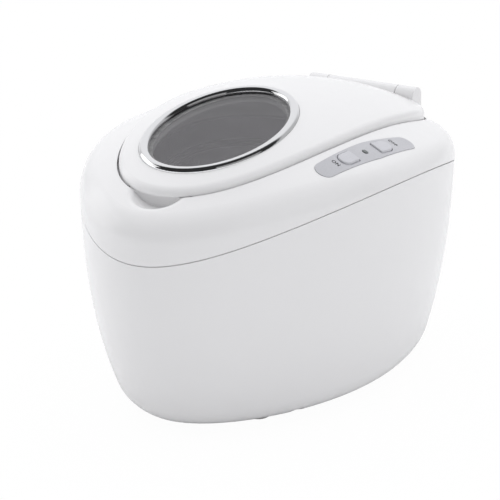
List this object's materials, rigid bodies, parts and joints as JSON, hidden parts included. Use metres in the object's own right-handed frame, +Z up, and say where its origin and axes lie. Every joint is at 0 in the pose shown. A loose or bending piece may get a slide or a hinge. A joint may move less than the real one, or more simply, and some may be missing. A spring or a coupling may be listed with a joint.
{
  "type": "contact lens cleaner",
  "caption": "Egg-shaped ultrasonic cleaner with an arched hinged lid, chrome-ringed smoke window, steel bath, finger recess and a side panel with on and off keys.",
  "frame": {"origin": "centre of the whole part's footprint, at the bottom of the feet", "axes": "+X to the right-hand side with the keys, +Y to the hinge at the back, +Z up"},
  "size_m": [0.1338, 0.1991, 0.1203],
  "materials": {
    "casing_white": "glossy moulded white",
    "chrome_trim": "polished chrome plating",
    "smoke_window": "clear smoke grey",
    "silver_plastic": "satin silver lacquer",
    "light_lens": "clear tinted lens",
    "grey_rubber": "moulded rubber",
    "tank_steel": "satin pressed stainless steel",
    "bright_steel": "turned and plated steel",
    "bare_aluminium": "turned and extruded aluminium",
    "piezo_ceramic": "silvered ceramic",
    "contact_brass": "plated brass",
    "board_green": "solder mask over glass fibre",
    "component_black": "moulded black",
    "capacitor_sleeve": "shrink sleeve",
    "film_resin": "dipped resin",
    "ferrite_core": "ferrite with taped winding",
    "fuse_glass": "clear glass tube with plated caps",
    "lead_sleeve": "soft insulation"
  },
  "bodies": {
    "casing": {"lower_casing": "casing_white", "upper_casing": "casing_white", "key_panel": "silver_plastic", "status_light": "light_lens", "foot_front_left": "grey_rubber", "foot_front_right": "grey_rubber", "foot_rear_left": "grey_rubber", "foot_rear_right": "grey_rubber", "lid_bumpers": "grey_rubber", "tank_gasket": "grey_rubber", "tank": "tank_steel", "tank_clamps": "tank_steel", "hinge_pin": "bright_steel", "casing_screws": "bright_steel", "board_screws": "bright_steel", "tank_clamp_screws": "bright_steel", "key_board_screws": "bright_steel", "transducer_bolt": "bright_steel", "transducer_back_mass": "bright_steel", "transducer_horn": "bare_aluminium", "heat_sink": "bare_aluminium", "piezo_rings": "piezo_ceramic", "electrode_plates": "contact_brass", "inlet_contacts": "contact_brass", "driver_board": "board_green", "key_board": "board_green", "key_switches": "component_black", "power_transistors": "component_black", "power_inlet": "component_black", "bulk_capacitor": "capacitor_sleeve", "film_capacitors": "film_resin", "drive_transformer": "ferrite_core", "line_choke": "ferrite_core", "mains_fuse": "fuse_glass", "mains_leads": "lead_sleeve", "transducer_leads": "lead_sleeve", "key_leads": "lead_sleeve"},
    "lid": {"lid_shell": "casing_white", "window_bezel": "chrome_trim", "window_pane": "smoke_window", "window_gasket": "grey_rubber"},
    "on_key": {"on_key": "silver_plastic"},
    "off_key": {"off_key": "silver_plastic"}
  },
  "joints": [
    {"name": "lid_hinge", "type": "hinge", "parent": "casing", "child": "lid", "pos_m": [0, 0.0855, 0.0991], "axis": [-1, 0, 0], "range_deg": [0, 100]},
    {"name": "on_key_press", "type": "slide", "parent": "casing", "child": "on_key", "axis": [0, 0, -1], "range_m": [0, 0.0006], "stiffness_N_per_m": 500},
    {"name": "off_key_press", "type": "slide", "parent": "casing", "child": "off_key", "axis": [0, 0, -1], "range_m": [0, 0.0006], "stiffness_N_per_m": 500}
  ]
}
